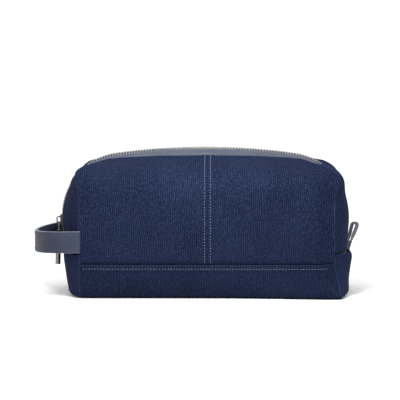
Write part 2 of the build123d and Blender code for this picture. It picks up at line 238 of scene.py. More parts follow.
def end_surface(s, y, roof=False):
    """The skin over the zip and out to y either side, drawn in level with the corners and the roof."""
    x, z, nx, nz = zip_line(s)
    x, z = np.abs(x) + SKIN * np.abs(nx), z + SKIN * nz
    left = np.asarray(s) < 0
    ridge_x = np.where(left, edge_x(-1, z), edge_x(1, z))
    ridge_y = np.where(left, edge_y(-1, z), edge_y(1, z))
    across = np.clip(np.abs(y) / np.maximum(ridge_y, FACING_OUT), 0, 1.2)
    crown = 1.7 * (1 - np.exp(-((np.abs(y) / 6.0) ** 2))) * (1 - np.minimum(across, 1) ** 2)
    crown = crown + 1.4 * (y / 5.0) ** 2 * np.exp(1 - (y / 5.0) ** 2)
    crown = crown + 1.4 * (1 - ease((ZIP_HALF - np.abs(s)) / 5.0))
    x = x + (ridge_x - x) * across**2.5 - crown * np.abs(nx)
    z = z - crown * nz
    if roof:
        sink = softly_above_zero((z - roof_z(y)) / np.maximum(nz, 0.2)) - 0.05
        x, z = x - sink * np.abs(nx), z - sink * nz
    return settle(np.stack([np.where(left, -x, x), y + 0 * x, z + 0 * x], axis=-1))


def ridge(end):
    """For each s along the zip, how far out the end panel reaches, down from the facing's corner."""
    s = np.linspace(ZIP_HALF, 60.0, 900)
    _, z, _, nz = zip_line(s)
    z = z + SKIN * nz
    y = edge_y(end, z)
    keep = y > FACING_OUT + 0.2
    return s[keep], y[keep]


RIDGE = {end: ridge(end) for end in (-1, 1)}


def foot_flare(z, y):
    """How far the foot of the front spreads towards the right end."""
    return FOOT_SPREAD * ease((24 - z) / 24) ** 1.5 * ease((y - 44) / 7)


def wall_surface(side, x, q):
    """A point on the front or back: x along the bag, q along the end view's outline."""
    y = profile_y(q)
    z = profile_z(q)
    out = np.zeros(np.broadcast(x, q).shape)
    for end in (-1, 1):
        edge = edge_x(end, z)
        roll = corner_back(end, z) * ease((np.abs(x) / edge - 0.84) / 0.16) * ease(z / 12)
        out = np.where(np.sign(x + 1e-9) == end, roll, out)
    foot = foot_flare(z, y) * ease((x - 10) / 110) * (side < 0)
    return settle(np.stack([x + 0 * q, side * (y - out + foot) + 0 * x, z + 0 * x], axis=-1))


# Where the end view bulges below the end seam: (z, bow from the corner line to the middle), then under the base
LOW_END = {
    -1: curve([(39.8, 15.6), (39.5, 16.9), (37.5, 17.5), (30, 16.9), (20, 15.4), (10, 13.8), (5, 13.1)]
        + [(2, 11.8), (0.6, 9.2), (0, 5.0), (0, 0)]),
    1: curve([(39.8, 14.0), (39.6, 16.6), (38.0, 18.7), (34, 18.9), (26, 16.6), (14, 13.0), (7, 11.5)]
        + [(3, 10.0), (0.8, 7.2), (0, 3.6), (0, 0)]),
}
LOW_END_SQUARE = {-1: 4.0, 1: 3.6}
FULLNESS = {-1: -0.2, 1: 2.6}


def low_end_surface(end, side, across, q):
    """The lower end piece: across from 0 at the middle to 1 at the corner seam, q down from the end seam."""
    shape = LOW_END[end]
    along = lengths(shape)
    z = np.maximum(np.interp(q, along, shape[:, 0]), 0.0)
    bow = np.interp(q, along, shape[:, 1])
    low_y = np.interp(z, PROFILE[PROFILE_Q > 40][:, 1], PROFILE[PROFILE_Q > 40][:, 0])
    reach = low_y - corner_back(end, z) * ease(z / 12)
    if end > 0:
        reach = reach + foot_flare(z, low_y) * ease((across - 0.6) / 0.4) * (side < 0)
    x = corner_x(end, z) + bow * (1 - across ** LOW_END_SQUARE[end])
    return np.stack([end * x, side * across * reach, z + 0 * across], axis=-1)


# -------------------- meshes


def normals(p):
    """Unit normals of a grid of points, from its own rows and columns."""
    n = np.cross(np.gradient(p, axis=0), np.gradient(p, axis=1))
    return n / np.maximum(np.linalg.norm(n, axis=-1, keepdims=True), 1e-9)


def facing(n, out):
    """The normals, each turned to the same side as out."""
    return np.where((np.sum(n * out, -1) < 0)[..., None], -n, n)


def new_object(name, verts, faces, material, cloth=None):
    mesh = bpy.data.meshes.new(name)
    mesh.from_pydata((np.asarray(verts, float) * 0.001).tolist(), [], faces)
    mesh.update()
    if cloth is not None:
        layer = mesh.attributes.new("cloth", "FLOAT_VECTOR", "POINT")
        layer.data.foreach_set("vector", np.asarray(cloth, np.float32).ravel())
    mesh.polygons.foreach_set("use_smooth", [True] * len(mesh.polygons))
    mesh.materials.append(material)
    piece = bpy.data.objects.new(name, mesh)
    bpy.context.scene.collection.objects.link(piece)
    return piece


def quads(rows, cols, offset=0, flip=False):
    out = []
    for i in range(rows - 1):
        for j in range(cols - 1):
            a = offset + i * cols + j
            quad = (a, a + 1, a + cols + 1, a + cols)
            out.append(quad[::-1] if flip else quad)
    return out


def shell(
    name, p, outward, u, v, thick, material, rounding=1.0, rounded="udlr", lift=0.0, push=None, mirrored=1
):
    """A sheet of cloth or leather with real thickness. u and v are its lengths along columns and rows.

    Its edges named in rounded (u: last row, d: first row, l: first column, r: last column) roll over.
    """
    n = normals(p)
    flip = bool(np.mean(np.sum(n * outward, axis=-1)) < 0)
    n = -n if flip else n
    rows, cols = p.shape[:2]
    gap = np.full((rows, cols), 1e3)
    if "l" in rounded:
        gap = np.minimum(gap, u - u[:, :1])
    if "r" in rounded:
        gap = np.minimum(gap, u[:, -1:] - u)
    if "d" in rounded:
        gap = np.minimum(gap, v - v[:1, :])
    if "u" in rounded:
        gap = np.minimum(gap, v[-1:, :] - v)
    near = np.clip(gap, 0, rounding)
    drop = rounding - np.sqrt(np.maximum(rounding**2 - (rounding - near) ** 2, 0))
    height = lift - drop
    if push is not None:
        height = height + push * ease(gap / 7.0)
    top = p + n * height[..., None]
    under = p + n * (lift - thick)
    verts = np.vstack([top.reshape(-1, 3), under.reshape(-1, 3)])
    cloth = np.stack([mirrored * u, v, np.minimum(gap, 50.0)], axis=-1).reshape(-1, 3)
    size = rows * cols
    faces = quads(rows, cols, 0, not flip) + quads(rows, cols, size, flip)
    ring = list(range(cols)) + [i * cols + cols - 1 for i in range(1, rows)]
    ring += [(rows - 1) * cols + j for j in range(cols - 2, -1, -1)]
    ring += [i * cols for i in range(rows - 2, 0, -1)]
    for a, b in zip(ring, ring[1:] + ring[:1]):
        quad = (a, b, b + size, a + size)
        faces.append(quad if not flip else quad[::-1])
    return new_object(name, verts, faces, material, np.vstack([cloth, cloth]))


def orient(piece):
    """Make a closed mesh's faces all point outwards."""
    bm = bmesh.new()
    bm.from_mesh(piece.data)
    bmesh.ops.recalc_face_normals(bm, faces=bm.faces)
    bm.to_mesh(piece.data)
    bm.free()
    return piece


def grid_lengths(p):
    u = np.zeros(p.shape[:2])
    v = np.zeros(p.shape[:2])
    u[:, 1:] = np.cumsum(np.linalg.norm(np.diff(p, axis=1), axis=-1), axis=1)
    v[1:, :] = np.cumsum(np.linalg.norm(np.diff(p, axis=0), axis=-1), axis=0)
    return u, v


def open_with(piece):
    """Bakes the piece's placement into its mesh."""
    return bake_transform(piece)


def at_rest(piece, body, slot, *nodes):
    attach(piece, body)
    if nodes:
        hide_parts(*nodes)
    return piece


def opening(piece, side, slot, *nodes):
    open_with(piece)
    if nodes:
        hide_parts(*nodes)
    return piece


# -------------------- materials


class Nodes:
    """A material's node tree, with short calls for the nodes used here."""

    def __init__(self, name, roughness, metallic=0.0, **fixed):
        self.material = bpy.data.materials.new(name)
        self.material.use_nodes = True
        self.tree = self.material.node_tree
        self.shader = self.tree.nodes["Principled BSDF"]
        self.shader.inputs["Roughness"].default_value = roughness
        self.shader.inputs["Metallic"].default_value = metallic
        for socket, value in fixed.items():
            self.shader.inputs[socket.replace("_", " ")].default_value = value

    def set(self, socket, value):
        if isinstance(value, bpy.types.NodeSocket):
            self.tree.links.new(value, socket)
        else:
            socket.default_value = value

    def math(self, operation, a, b=0.0, c=0.0, clamp=False):
        node = self.tree.nodes.new("ShaderNodeMath")
        node.operation, node.use_clamp = operation, clamp
        for socket, value in zip(node.inputs, (a, b, c)):
            self.set(socket, value)
        return node.outputs[0]

    def fit(self, value, low, high, to_low=0.0, to_high=1.0):
        node = self.tree.nodes.new("ShaderNodeMapRange")
        node.interpolation_type = "SMOOTHSTEP"
        for socket, v in zip(node.inputs, (value, low, high, to_low, to_high)):
            self.set(socket, v)
        return node.outputs[0]

    def noise(self, vector, scale, detail=2.0, rough=0.5):
        node = self.tree.nodes.new("ShaderNodeTexNoise")
        self.set(node.inputs["Vector"], vector)
        node.inputs["Scale"].default_value = scale
        node.inputs["Detail"].default_value = detail
        node.inputs["Roughness"].default_value = rough
        return node.outputs["Fac"]

    def cells(self, vector, scale, feature="F1"):
        node = self.tree.nodes.new("ShaderNodeTexVoronoi")
        node.feature = feature
        self.set(node.inputs["Vector"], vector)
        node.inputs["Scale"].default_value = scale
        return node.outputs["Distance"]

    def point(self, scale=(1.0, 1.0, 1.0), source=None):
        """Object coordinates in millimetres, stretched by scale."""
        if source is None:
            source = self.tree.nodes.new("ShaderNodeTexCoord").outputs["Object"]
            scale = tuple(1000 * s for s in scale)
        node = self.tree.nodes.new("ShaderNodeMapping")
        node.vector_type = "POINT"
        self.set(node.inputs["Vector"], source)
        node.inputs["Scale"].default_value = scale
        return node.outputs[0]

    def cloth(self):
        """The cloth's own coordinates: across, along and distance from the nearest edge, in millimetres."""
        node = self.tree.nodes.new("ShaderNodeAttribute")
        node.attribute_name = "cloth"
        split = self.tree.nodes.new("ShaderNodeSeparateXYZ")
        self.set(split.inputs[0], node.outputs["Vector"])
        return node.outputs["Vector"], split.outputs[0], split.outputs[1], split.outputs[2]

    def mix(self, fac, a, b):
        node = self.tree.nodes.new("ShaderNodeMix")
        node.data_type = "RGBA"
        self.set(node.inputs[0], fac)
        for socket, value in ((node.inputs[6], a), (node.inputs[7], b)):
            self.set(socket, (*value, 1.0) if isinstance(value, tuple) else value)
        return node.outputs[2]

    def colour(self, value):
        self.set(self.shader.inputs["Base Color"], value if not isinstance(value, tuple) else (*value, 1.0))

    def bump(self, height, distance, strength=1.0):
        node = self.tree.nodes.new("ShaderNodeBump")
        node.inputs["Strength"].default_value = strength
        node.inputs["Distance"].default_value = distance * 0.001
        self.set(node.inputs["Height"], height)
        self.set(self.shader.inputs["Normal"], node.outputs[0])


def canvas_material(name, shade, light, rib=1.7):
    """Ribbed twill: wandering upright ribs, a fine diagonal and paler flecks; paler where seams rub."""
    n = Nodes(name, 0.86, Specular_IOR_Level=0.04)
    vector, u, v, gap = n.cloth()
    wander = n.noise(n.point((0.05, 0.028, 0.0), vector), 1.0, 2.0)
    across = n.math("MULTIPLY_ADD", wander, 6.0, n.math("MULTIPLY_ADD", v, 0.06, u))
    ribs = n.math("MULTIPLY_ADD", n.math("SINE", n.math("MULTIPLY", across, 2 * math.pi / rib)), 0.5, 0.5)
    slant = n.math("ADD", n.math("MULTIPLY", u, 7.4), n.math("MULTIPLY", v, 5.1))
    twill = n.math("MULTIPLY_ADD", n.math("SINE", slant), 0.5, 0.5)
    fleck = n.fit(n.noise(n.point((1.15, 0.42, 1.0), vector), 1.0, 2.0, 0.6), 0.42, 0.62)
    broad = n.noise(n.point((0.02, 0.02, 0.02)), 1.0, 2.0)
    thread = n.math("MULTIPLY", ribs, n.math("MULTIPLY_ADD", fleck, 0.8, 0.2))
    tone = n.math("MULTIPLY_ADD", thread, 0.85, n.math("MULTIPLY", fleck, 0.08))
    tone = n.math("MULTIPLY_ADD", n.math("SUBTRACT", broad, 0.5), 0.35, tone)
    body = n.mix(tone, shade, light)
    rub = n.math("MULTIPLY", n.fit(gap, 1.1, 0.0), 0.18)
    n.colour(n.mix(rub, body, tuple(1.9 * c for c in light)))
    relief = n.math("ADD", n.math("MULTIPLY", ribs, 0.6), n.math("MULTIPLY_ADD", twill, 0.25, fleck))
    n.bump(relief, 0.12, 0.8)
    return n.material


def leather_material(name, dark, light, rough=0.5):
    """Fine pebbled grain with soft tone changes and paler, rubbed edges."""
    n = Nodes(name, rough, Specular_IOR_Level=0.22)
    gap = n.cloth()[3]
    where = n.point()
    grain = n.cells(where, 1.5)
    pores = n.noise(where, 2.6, 3.0)
    broad = n.noise(n.point((0.05, 0.05, 0.05)), 1.0, 3.0)
    tone = n.math("ADD", n.math("MULTIPLY", broad, 0.75), n.math("MULTIPLY", pores, 0.3))
    body = n.mix(n.fit(tone, 0.3, 0.8), dark, light)
    n.colour(n.mix(n.math("MULTIPLY", n.fit(gap, 0.9, 0.1), 0.35), body, tuple(1.5 * c for c in light)))
    n.set(n.shader.inputs["Roughness"], n.fit(pores, 0.2, 0.8, rough - 0.08, rough + 0.12))
    n.bump(n.math("MULTIPLY_ADD", pores, 0.5, grain), 0.10, 0.7)
    return n.material


def metal_material(name, colour, roughness, grain=(0.4, 0.4, 8.0), wear=0.25):
    """Plated metal: brushed along one way, with faint smudges."""
    n = Nodes(name, roughness, 1.0)
    lines = n.noise(n.point(grain), 1.0, 3.0, 0.6)
    smudge = n.noise(n.point((0.25, 0.25, 0.25)), 1.0, 2.0)
    n.colour(n.mix(n.fit(smudge, 0.3, 0.75), tuple((1 - wear) * c for c in colour), colour))
    low, high = max(0.08, roughness - 0.1), roughness + 0.12
    n.set(n.shader.inputs["Roughness"], n.fit(lines, 0.3, 0.7, low, high))
    n.bump(lines, 0.02, 0.5)
    return n.material


def woven_material(name, dark, light, pitch, rough=0.8):
    """Plain weave: over and under in both directions."""
    n = Nodes(name, rough, Sheen_Weight=0.1, Specular_IOR_Level=0.3)
    _, u, v, _ = n.cloth()
    wave = [n.math("SINE", n.math("MULTIPLY", a, math.pi / pitch)) for a in (u, v)]
    checks = n.math("MULTIPLY_ADD", n.math("MULTIPLY", wave[0], wave[1]), 0.5, 0.5)
    broad = n.noise(n.point((0.06, 0.06, 0.06)), 1.0, 2.0)
    n.colour(n.mix(n.math("MULTIPLY_ADD", checks, 0.5, n.math("MULTIPLY", broad, 0.5)), dark, light))
    n.bump(checks, 0.08, 0.8)
    return n.material


def thread_material(name, dark, light):
    """Twisted sewing thread."""
    n = Nodes(name, 0.6, Sheen_Weight=0.2)
    twist = n.noise(n.point((2.2, 2.2, 2.2)), 1.0, 2.0)
    n.colour(n.mix(n.fit(twist, 0.3, 0.7), dark, light))
    n.bump(twist, 0.08, 0.6)
    return n.material


CANVAS = canvas_material("navy_canvas", (0.0030, 0.0056, 0.0172), (0.0190, 0.0292, 0.0668))
# Painted shade: the base band takes a darker copy of the same canvas, standing in for the shade low on the bag
BAND_CANVAS_PAINTED_SHADE = canvas_material("navy_canvas_base", (0.0028, 0.0051, 0.0155), (0.0160, 0.0242, 0.0575))
# Painted light: the end panels take a paler, bluer copy of the same canvas, standing in for light on the
# sideways ends
END_CANVAS_PAINTED_LIGHT = canvas_material("navy_canvas_ends", (0.0054, 0.0078, 0.0250), (0.0220, 0.0300, 0.0800))
FACING = leather_material("facing_leather", (0.033, 0.039, 0.056), (0.054, 0.062, 0.082), 0.55)
STRAP = leather_material("strap_leather", (0.018, 0.0235, 0.043), (0.030, 0.036, 0.063), 0.5)
EDGE_PAINT = leather_material("edge_paint", (0.075, 0.078, 0.10), (0.13, 0.13, 0.155), 0.35)
TEETH_METAL = metal_material("zip_teeth_metal", (0.50, 0.50, 0.49), 0.28)
SLIDER_METAL = metal_material("slider_metal", (0.10, 0.10, 0.105), 0.3)
PULL_METAL = metal_material("pull_metal", (0.20, 0.20, 0.20), 0.36, (4.0, 4.0, 0.25))
# Painted shade: near-black metal for the pull bar's narrow sides, standing in for the shade on that side
PULL_SIDES_PAINTED_SHADE = metal_material("pull_sides_painted_shade", (0.022, 0.022, 0.024), 0.4)
TAPE = woven_material("zip_tape", (0.010, 0.012, 0.022), (0.03, 0.034, 0.05), 0.55)
LINING = woven_material("lining_cloth", (0.035, 0.04, 0.055), (0.075, 0.082, 0.105), 0.45)
BOARD = woven_material("stiffening_board", (0.012, 0.012, 0.013), (0.022, 0.022, 0.024), 1.5)
THREAD = thread_material("navy_thread", (0.05, 0.07, 0.125), (0.125, 0.16, 0.235))
DARK_THREAD = thread_material("dark_thread", (0.006, 0.008, 0.018), (0.022, 0.027, 0.05))

# -------------------- canvas panels

SEAM_ROW = 2.6
BAND_ROW = 3.6
STITCH_PITCH = 2.65


def profile_normal(q):
    """The outward direction of the end view's outline at q."""
    step = 0.6
    dy = profile_y(q + step) - profile_y(q - step)
    dz = profile_z(q + step) - profile_z(q - step)
    size = np.hypot(dy, dz) + 1e-9
    return dz / size, -dy / size


def panel_height(side, x, q):
    """How far the upper panels stand off their smooth surface: pillow, seam allowances, stitch dents, sag."""
    z = profile_z(q)
    ax = np.abs(x)
    edge = np.where(x < 0, edge_x(-1, z), edge_x(1, z))
    low = q - profile_q(BAND_Z)
    high = TOP_Q - q
    to_side = edge - ax
    pillow = 3.0 * ease(to_side / 62) * ease(low / 40) * ease(high / 40)
    pillow = pillow + 0.6 * ease(to_side / 14) * ease(low / 14)
    seam = 0.45 * (1 - ease((ax - 4.6) / 1.6))
    dents = np.exp(-(((ax - SEAM_ROW) / 0.45) ** 2))
    turned = 0.35 * (1 - ease((high - 5.5) / 2.5)) - 1.3 * (1 - ease(low / 4.5))
    waves = lumps(np.stack([x * 0.7 + 0 * q, q + 0 * x, 0 * (x + q) + 40 * side], -1), 74, 3)
    creases = lumps(np.stack([x + 0.5 * q, 0.35 * (q - x), 0 * (x + q) + 9 * side], -1), 19, 5)
    fade = ease(to_side / 12) * ease(low / 10) * ease(high / 10) * ease((ax - 3) / 10)
    near_top = ease((z - 82) / 30)
    return pillow + seam - 0.4 * dents + turned + fade * (0.42 * waves + (0.05 + 0.16 * near_top) * creases)


def front_panel(side, x, q):
    """The finished surface of the upper front (side -1) or back (side 1)."""
    p = wall_surface(side, x, q)
    ny, nz = profile_normal(q)
    h = panel_height(side, x, q)
    return p + np.stack([0 * h, side * ny * h, nz * h], axis=-1)


def build_panels():
    seam_dips = tuple(SEAM_ROW + d for d in (-0.9, -0.45, -0.2, 0.0, 0.2, 0.45, 0.9)) + (4.6, 5.2, 5.8)
    for side in (-1, 1):
        for end in (-1, 1):
            q = profile_q(BAND_Z) + samples(TOP_Q - profile_q(BAND_Z), 2.4)
            a = samples(HALF_WIDTH, 2.4, extra=seam_dips) / HALF_WIDTH
            qq = q[:, None] + 0 * a[None, :]
            z = profile_z(qq)
            blend_in = ease((a[None, :] * HALF_WIDTH - 8) / 40)
            x = end * ((1 - blend_in) * a[None, :] * HALF_WIDTH + blend_in * a[None, :] * edge_x(end, z))
            p = front_panel(side, x, qq)
            u, v = grid_lengths(p)
            out = np.zeros(p.shape)
            out[..., 1] = side
            name = f"{SIDE_NAME[side]}_panel_{END_NAME[end]}"
            low = f"{SIDE_NAME[side]}_panel_low_{END_NAME[end]}"
            piece = shell("visual_" + name, p, out, u, v, CANVAS_T, CANVAS, 1.35, mirrored=end)
            opening(piece, side, "canvas", name, low)


def band_height(x, q):
    """The base band stands a little proud at its top edge and is flat underneath."""
    z = profile_z(q)
    below = profile_q(BAND_Z) - q
    ax = np.abs(x)
    edge = np.where(x < 0, corner_x(-1, z), corner_x(1, z))
    up = ease((z - 3.0) / 12.0)
    pillow = 1.0 * ease((edge - ax) / 24) * ease(below / 12) * ease((z - 2) / 14)
    turned = 0.75 * (1 - ease((below - 4.4) / 2.4))
    dent = np.exp(-(((below - BAND_ROW) / 0.45) ** 2))
    sag = lumps(np.stack([x + 0 * q, 1.6 * q + 0 * x, 0 * (x + q)], -1), 60, 11)
    return up * (pillow + turned - 0.4 * dent + 0.25 * sag * ease(below / 10) * ease((edge - ax) / 12))


def band_surface(side, x, q):
    p = wall_surface(side, x, q)
    ny, nz = profile_normal(q)
    h = band_height(x, q)
    return p + np.stack([0 * h, side * ny * h, nz * h], axis=-1)


def build_band():
    """The base band: up the front, under the bag and up the back in one piece."""
    top = profile_q(BAND_Z)
    dips = tuple(BAND_ROW + d for d in (-0.9, -0.45, -0.2, 0.0, 0.2, 0.45, 0.9, 1.6, 2.4))
    below = samples(top, 2.6, (True, False), dips)
    half = top - below
    q = np.concatenate([half, -half[::-1][1:]])
    a = samples(2 * HALF_WIDTH, 2.6) / HALF_WIDTH - 1.0
    qq, aa = np.meshgrid(q, a, indexing="ij")
    z = profile_z(np.abs(qq))
    x = np.where(aa < 0, aa * corner_x(-1, z), aa * corner_x(1, z))
    front, back = band_surface(-1, x, np.abs(qq)), band_surface(1, x, np.abs(qq))
    p = np.where((qq > 0)[..., None], front, back)
    out = np.zeros(p.shape)
    out[..., 1] = np.where(qq > 0, -1.0, 1.0)
    u, v = grid_lengths(p)
    # the band wears the darker copy of the canvas: painted shade
    piece = shell("visual_base_band", p, out, u, v, CANVAS_T, BAND_CANVAS_PAINTED_SHADE, 1.25)
    at_rest(piece, BASE, "canvas", "base_band")


def end_quarter(side, s, b, ridge_s, ridge_y):
    """A point on an upper end panel: b from 0 beside the zip facing to 1 at the ridge."""
    reach = np.interp(-np.abs(s), -ridge_s, ridge_y)
    y = side * ((FACING_OUT - 0.6) * (1 - b) + reach * b)
    p = end_surface(s, y)
    return p, reach


def build_end_panels():
    for end in (-1, 1):
        ridge_s, ridge_y = RIDGE[end]
        top_s = ridge_s.min()
        for side in (-1, 1):
            along = ZIP_HALF - samples(ZIP_HALF - top_s, 2.0, (True, False))
            along[-1] = top_s
            b = samples(42.0, 2.2) / 42.0
            ss, bb = np.meshgrid(end * along, b, indexing="ij")
            p, reach = end_quarter(side, ss, bb, ridge_s, ridge_y)
            n = normals(p)
            width = reach - FACING_OUT
            hollow = ease(bb * width / 14) * ease((1 - bb) * width / 14) * ease((ZIP_HALF - np.abs(ss)) / 4)
            waves = lumps(p * np.array([1.0, 1.0, 0.45]), 34, 17 + side)
            out = np.stack([end * np.abs(zip_line(ss)[2]), 0 * ss, zip_line(ss)[3]], -1)
            n = facing(n, out)
            p = p + n * (hollow * (0.5 * waves + FULLNESS[end]))[..., None]
            u, v = grid_lengths(p)
            name = f"end_panel_{SIDE_NAME[side]}_{END_NAME[end]}"
            low = f"end_panel_low_{SIDE_NAME[side]}_{END_NAME[end]}"
            # the upper ends wear the paler copy of the canvas: painted light
            piece = shell("visual_" + name, p, out, u, v, CANVAS_T, END_CANVAS_PAINTED_LIGHT, 1.1, "lr")
            opening(piece, side, "canvas", name, low)


def build_lower_ends():
    for end in (-1, 1):
        depth = lengths(LOW_END[end])[-1]
        q = samples(depth, 2.0, (True, False), (2.6, 3.1, 3.5, 3.9, 4.4))
        a = samples(118.0, 2.4) / 59.0 - 1.0
        qq, aa = np.meshgrid(q, a, indexing="ij")
        p = low_end_surface(end, np.sign(aa), np.abs(aa), qq)
        out = np.zeros(p.shape)
        out[..., 0] = end
        bulge = lumps(p * np.array([1, 0.8, 1.2]), 38, 23 + end)
        up = ease((p[..., 2] - 2.5) / 10.0) * ease((1 - np.abs(aa)) * 59 / 12)
        lift = up * (0.35 * bulge)
        u, v = grid_lengths(p)
        name = f"end_lower_{END_NAME[end]}"
        # the lower ends wear the paler copy of the canvas: painted light
        piece = shell("visual_" + name, p, out, u, v, CANVAS_T, END_CANVAS_PAINTED_LIGHT, 1.1, push=lift)
        at_rest(piece, BASE, "canvas", name)


# -------------------- zip


def zip_strip(name, side, y_in, y_out, depth, thick, material, step_y, rounding, height=0.0):
    """A strip beside the zip, from one end to the other, at depth below the skin."""
    s = samples(2 * ZIP_HALF, 1.9, (False, False)) - ZIP_HALF
    y = side * (y_in + samples(y_out - y_in, step_y))
    ss, yy = np.meshgrid(s, y, indexing="ij")
    p = end_surface(ss, yy, roof=True)
    _, _, nx, nz = zip_line(ss)
    out = np.stack([nx, 0 * nx, nz], axis=-1)
    n = normals(p)
    n = facing(n, out)
    u, v = grid_lengths(p)
    return shell(name, p - n * depth, out, u, v, thick, material, rounding, "lr", lift=height)


def tooth(s, side):
    """One zip tooth: a clamped body, a waist and a rounded head that reaches past the middle."""
    x, z, nx, nz = (float(a) for a in zip_line(s))
    along = np.array([nz, 0, -nx])
    outward = np.array([nx, 0, nz])
    across = np.array([0, side, 0])
    origin = np.array([x, 0, z])
    plan = [(3.1, 0.52), (2.2, 0.6), (1.5, 0.5), (0.7, 0.42), (0.15, 0.55), (-0.35, 0.5), (-0.62, 0.28)]
    levels = ((-1.3, 0.75), (-1.05, 1.0), (1.1, 1.0), (1.4, 0.72))
    verts, faces, mid = [], [], 1.2
    outline = plan + [(y, -w) for y, w in reversed(plan)]
    for height, spread in levels:
        for y, w in outline:
            yy = mid + (y - mid) * (0.86 + 0.14 * (spread - 0.72) / 0.28)
            verts.append(origin + across * yy + along * w * spread + outward * height)
    count = len(outline)
    for level in range(len(levels) - 1):
        for i in range(count):
            j = (i + 1) % count
            low, high = level * count, (level + 1) * count
            faces.append((low + i, low + j, high + j, high + i))
    faces.append(tuple(range(count))[::-1])
    faces.append(tuple(range((len(levels) - 1) * count, len(levels) * count)))
    return verts, faces


def merged(name, parts, material):
    verts, faces = [], []
    for part_verts, part_faces in parts:
        base = len(verts)
        verts.extend(part_verts)
        faces.extend(tuple(base + i for i in face) for face in part_faces)
    cloth = np.zeros((len(verts), 3))
    cloth[:, 2] = 20.0
    return orient(new_object(name, verts, faces, material, cloth))


def build_zip():
    for side in (-1, 1):
        where = SIDE_NAME[side]
        lows = [f"zip_facing_low_{where}_{e}" for e in ("left", "right")]
        name, outer = f"visual_zip_facing_{where}", FACING_OUT + 0.4
        piece = zip_strip(name, side, FACING_IN, outer, -0.15, 1.5, FACING, 1.2, 0.75)
        opening(piece, side, "facing_leather", f"zip_facing_{where}", *lows)
        lows = [f"zip_tape_low_{where}_{e}" for e in ("left", "right")]
        piece = zip_strip(f"visual_zip_tape_{where}", side, 0.75, 11.0, 0.95, 0.6, TAPE, 1.0, 0.2)
        opening(piece, side, "zip_tape", f"zip_tape_{where}", *lows)
        count = int((ZIP_HALF - 3.5) / PITCH)
        offset = 0.25 * PITCH * side
        parts = [tooth(i * PITCH + offset, side) for i in range(-count, count + 1)]
        piece = merged(f"visual_zip_teeth_{where}", parts, TEETH_METAL)
        for polygon in piece.data.polygons:
            polygon.use_smooth = False
        nodes = [f"zip_teeth_{where}"] + (["zip_teeth_low_left", "zip_teeth_low_right"] if side < 0 else [])
        opening(piece, side, "zip_metal", *nodes)


# -------------------- stitches


def stitch(at, along, outward, length, width, height, slant):
    """One stitch: a short thread that comes up out of the cloth and goes back in."""
    across = np.cross(outward, along)
    turned = along * math.cos(slant) + across * math.sin(slant)
    across = np.cross(outward, turned)
    verts, faces = [], []
    rings, sides = 6, 6
    for i in range(rings):
        a = -1 + 2 * i / (rings - 1)
        fat = math.sqrt(max(0.0, 1 - (0.86 * a) ** 2))
        centre = at + turned * a * length / 2 + outward * (height * (1 - 1.7 * a * a))
        for j in range(sides):
            turn = 2 * math.pi * j / sides
            round_it = across * math.cos(turn) + outward * math.sin(turn)
            verts.append(centre + round_it * width / 2 * fat)
    for i in range(rings - 1):
        for j in range(sides):
            k = (j + 1) % sides
            faces.append((i * sides + j, i * sides + k, (i + 1) * sides + k, (i + 1) * sides + j))
    faces.append(tuple(range(sides))[::-1])
    faces.append(tuple(range((rings - 1) * sides, rings * sides)))
    return verts, faces


def stitch_rows(name, rows, material=None, length=1.55, width=0.55, height=0.13):
    """Rows of stitches along dense paths, each given as (points, outward directions)."""
    parts = []
    for points, outward in rows:
        along = lengths(points)
        count = int((along[-1] - 0.6) / STITCH_PITCH)
        start = (along[-1] - (count - 1) * STITCH_PITCH) / 2
        for i in range(count):
            c = start + i * STITCH_PITCH + rng.normal(0, 0.05)
            at = np.array([np.interp(c, along, points[:, k]) for k in range(3)])
            ahead = np.array([np.interp(c + 0.8, along, points[:, k]) for k in range(3)])
            behind = np.array([np.interp(c - 0.8, along, points[:, k]) for k in range(3)])
            direction = (ahead - behind) / max(np.linalg.norm(ahead - behind), 1e-6)
            up = np.array([np.interp(c, along, outward[:, k]) for k in range(3)])
            up -= direction * (up @ direction)
            up /= np.linalg.norm(up)
            slant = math.radians(20) + rng.normal(0, 0.05)
            parts.append(stitch(at, direction, up, length + rng.normal(0, 0.06), width, height, slant))
    return merged(name, parts, material or THREAD)


def on_panel(surface, side, x, q):
    """A path on a front or back surface with its outward directions."""
    p = surface(side, x, q)
    ny, nz = profile_normal(q)
    return p, np.stack([0 * ny, side * ny, nz], axis=-1)


def build_panel_stitches():
    for side in (-1, 1):
        where = SIDE_NAME[side]
        q = np.arange(profile_q(BAND_Z) + 0.8, TOP_Q - 0.8, 0.5)
        rows = [on_panel(front_panel, side, x + 0 * q, q) for x in (-SEAM_ROW, SEAM_ROW)]
        opening(stitch_rows(f"stitches_centre_{where}", rows), side, "canvas")
        x = np.arange(-112.0, 112.1, 0.5)
        q = profile_q(BAND_Z) - BAND_ROW + 0 * x
        at_rest(stitch_rows(f"stitches_band_{where}", [on_panel(band_surface, side, x, q)]), BASE, "canvas")


def build_facing_stitches():
    for side in (-1, 1):
        s = np.arange(-ZIP_HALF + 3, ZIP_HALF - 3, 0.6)
        y = side * 7.2 + 0 * s
        p = end_surface(s, y, roof=True)
        q = end_surface(s, y + side * 0.5, roof=True)
        along = np.gradient(p, axis=0)
        out = np.cross(q - p, along)
        out /= np.linalg.norm(out, axis=1, keepdims=True)
        _, _, nx, nz = zip_line(s)
        sign = np.sign(out[:, 0] * nx + out[:, 2] * nz)
        out *= sign[:, None]
        rows = [(p + out * 0.12, out)]
        piece = stitch_rows(f"stitches_facing_{SIDE_NAME[side]}", rows, length=1.9, width=0.5, height=0.12)
        opening(piece, side, "facing_leather")


# -------------------- wrist strap and end tab


